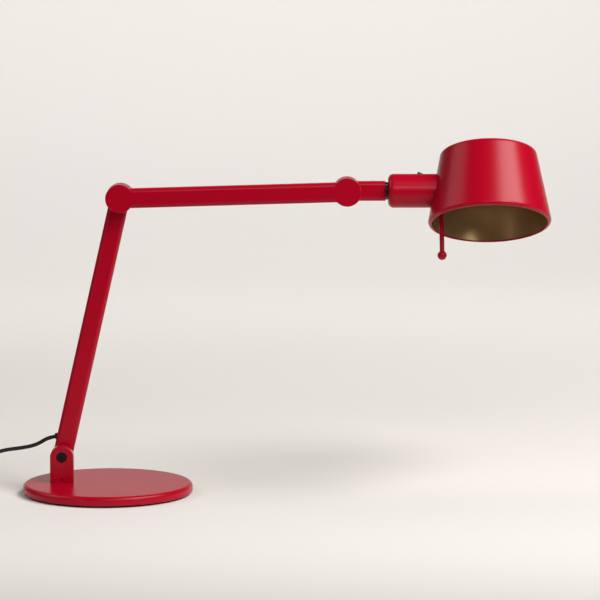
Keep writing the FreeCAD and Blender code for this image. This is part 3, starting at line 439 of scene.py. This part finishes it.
zinc = surface_material(
    "zinc_plate", (0.80, 0.79, 0.76), 0.4, metallic=0.3, grain=METAL_GRAIN, relief=0.004 * MM)
fibre = surface_material(
    "friction_fibre", (0.12, 0.10, 0.085), 0.8, grain=0.5 * MM, relief=0.05 * MM, mottle=0.2)
black_plastic = surface_material(
    "black_plastic", (0.004, 0.004, 0.0045), 0.4, grain=0.35 * MM, relief=0.03 * MM,
    mottle=0.15, Specular_IOR_Level=0.25)
pale_plastic = surface_material(
    "pale_plastic", (0.80, 0.77, 0.70), 0.35, grain=0.5 * MM, relief=0.008 * MM, mottle=0.03)
frosted = surface_material(
    "frosted_glass", (0.93, 0.92, 0.88), 0.35, grain=0.6 * MM, relief=0.01 * MM,
    mottle=0.02, Transmission_Weight=0.35)
cord_rubber = surface_material(
    "cord_black", (0.003, 0.003, 0.0032), 0.27, grain=0.5 * MM, relief=0.01 * MM,
    mottle=0.2, Specular_IOR_Level=0.35)
pad_rubber = surface_material(
    "pad_black", (0.006, 0.006, 0.006), 0.85, grain=0.6 * MM, relief=0.08 * MM, mottle=0.2)
tie_fabric = surface_material(
    "tie_fabric", (0.016, 0.016, 0.018), 0.8, grain=0.35 * MM, relief=0.12 * MM, mottle=0.3)

BY_SLOT = {
    "red_steel": red_paint,
    "red_aluminium": red_paint,
    "gold_skin": gold_skin,
    "black_steel": black_steel,
    "plain_steel": plain_steel,
    "brass": brass,
    "friction_fibre": fibre,
    "black_plastic": black_plastic,
    "pale_plastic": pale_plastic,
    "cord_black": cord_rubber,
    "pad_black": pad_rubber,
    "frosted_glass": frosted,
    "bright_nickel": nickel,
}


def finish_node(node, material):
    if not node.material_slots:
        node.data.materials.append(material)
    for entry in node.material_slots:
        entry.material = material


for row in frame["record"]["subparts"]:
    finish_node(frame["nodes"][row["node"]], BY_SLOT[row["material_slot"]])
finish_node(frame["nodes"]["collar_set_screws"], zinc)
cord.data.materials.append(cord_rubber)
plug_relief.data.materials.append(cord_rubber)
coil_band.data.materials.append(tie_fabric)


# Stage: a pale sweep that runs level under the lamp and rises behind it

FLOOR_HALF = 9.0
FLOOR_FRONT = -9.0
BEND_START = 2.2
BEND_RADIUS = 1.6
BEND_STEPS = 24
WALL_TOP = 7.0
FLOOR_DROP = 0.2 * MM


def sweep_profile():
    yield FLOOR_FRONT, 0.0
    yield BEND_START, 0.0
    for i in range(1, BEND_STEPS + 1):
        angle = math.pi / 2 * i / BEND_STEPS
        yield BEND_START + BEND_RADIUS * math.sin(angle), BEND_RADIUS * (1 - math.cos(angle))
    yield BEND_START + BEND_RADIUS, WALL_TOP


profile = list(sweep_profile())
count = len(profile)
sweep_mesh = bpy.data.meshes.new("stage_sweep")
sweep_mesh.from_pydata(
    [(side * FLOOR_HALF, y, z - FLOOR_DROP) for side in (-1, 1) for y, z in profile], [],
    [(i, count + i, count + i + 1, i + 1) for i in range(count - 1)],
)
sweep = new_piece("stage_sweep", sweep_mesh)

# The paper's tones, each with the depths or heights over which it takes over from those before it.
# They are painted light and shade: the floor gets lighter with depth to make up for the light falling
# off away from the lamps, which also lifts the lamp's own cast shadow just behind it, and the far
# floor gets darker again as painted shade
NEAR_TONE = (0.75, 0.732, 0.708)
PAINTED_LIGHT_DEPTH_TONES = [
    (-0.1, 0.12, (0.83, 0.804, 0.772)),
    (0.5, 1.6, (0.875, 0.851, 0.822)),
    (1.4, 2.9, (0.66, 0.643, 0.626)),
]
# Painted shade: the backdrop gets much darker above these heights
PAINTED_SHADE_HIGH_TONE = (0.5, 0.9, (0.26, 0.25, 0.24))
# In front of these depths the floor is dark, which keeps its glow off the lamp's front
DARK_FRONT = (-1.3, -0.25, (0.07, 0.068, 0.065))
PAPER_ROUGHNESS = 0.65
PAPER_GRAIN = 1.2 * MM
PAPER_RELIEF = 0.05 * MM
PAPER_RELIEF_STRENGTH = 0.3

paper, tree, surface = shader("stage_paper")
place = add(tree, "TexCoord").outputs["Object"]
split = add(tree, "SeparateXYZ", Vector=place)
depth, height = split.outputs["Y"], split.outputs["Z"]
tone = NEAR_TONE
# Painted light: the floor lightens with depth, in place of the light that falls off
for low, high, colour in PAINTED_LIGHT_DEPTH_TONES:
    tone = blend_colours(tree, eased(tree, depth, low, high), tone, colour)
low, high, colour = PAINTED_SHADE_HIGH_TONE
tone = blend_colours(tree, eased(tree, height, low, high), tone, colour)
low, high, colour = DARK_FRONT
tone = blend_colours(tree, eased(tree, depth, low, high), colour, tone)
feed(tree, surface.inputs["Base Color"], tone)
feed(tree, surface.inputs["Roughness"], PAPER_ROUGHNESS)
fine = noise(tree, place, PAPER_GRAIN, GRAIN_DETAIL)
bump = add(tree, "Bump", Strength=PAPER_RELIEF_STRENGTH, Distance=PAPER_RELIEF, Height=fine)
feed(tree, surface.inputs["Normal"], bump.outputs["Normal"])
sweep_mesh.materials.append(paper)


# Light: a large key on the right, small boxes that make the highlights on the handle, inside the
# shade and along the lower arm, a fill on the left, and one long box for the backdrop

NEUTRAL = (1.0, 0.98, 0.96)
WARM = (1.0, 0.98, 0.955)
ROOM_STRENGTH = 0.07
world = bpy.data.worlds.new("room")
world.use_nodes = True
background = world.node_tree.nodes["Background"]
background.inputs["Color"].default_value = (*NEUTRAL, 1)
background.inputs["Strength"].default_value = ROOM_STRENGTH
scene.world = world


def soft_box(name, azimuth, elevation, distance, size, watts, aim, colour=NEUTRAL):
    """An area light aimed at a point; azimuth 0 is the camera's side and grows to the right."""
    a, e = math.radians(azimuth), math.radians(elevation)
    away = Vector((math.sin(a) * math.cos(e), -math.cos(a) * math.cos(e), math.sin(e)))
    lamp = bpy.data.lights.new(name, "AREA")
    lamp.shape = "RECTANGLE"
    lamp.size, lamp.size_y = size
    lamp.energy = watts
    lamp.color = colour
    holder = bpy.data.objects.new(name, lamp)
    holder.location = Vector(aim) + away * distance
    holder.rotation_euler = (-away).to_track_quat("-Z", "Y").to_euler()
    holder.visible_camera = False
    scene.collection.objects.link(holder)


LAMP_MIDDLE = (0.25, 0.0, 0.25)
soft_box("key_box", 56, 49, 2.8, (2.4, 1.28), 119, (0.36, 0.0, 0.34), WARM)
soft_box("front_box", 4, 31, 2.2, (0.9, 0.4), 6.5, LAMP_MIDDLE)
soft_box("inner_box", 36, 17, 2.5, (0.5, 0.35), 7.5, (0.45, 0.0, 0.33))
soft_box("fill_box", -95, 36, 2.2, (1.4, 1.4), 11, LAMP_MIDDLE)
soft_box("low_box", -36, 4, 2.2, (0.25, 0.9), 2, (0.0, 0.0, 0.25))
soft_box("back_box", 0, 45, 2.0, (5.0, 0.8), 54, (-0.2, 3.6, 0.5))
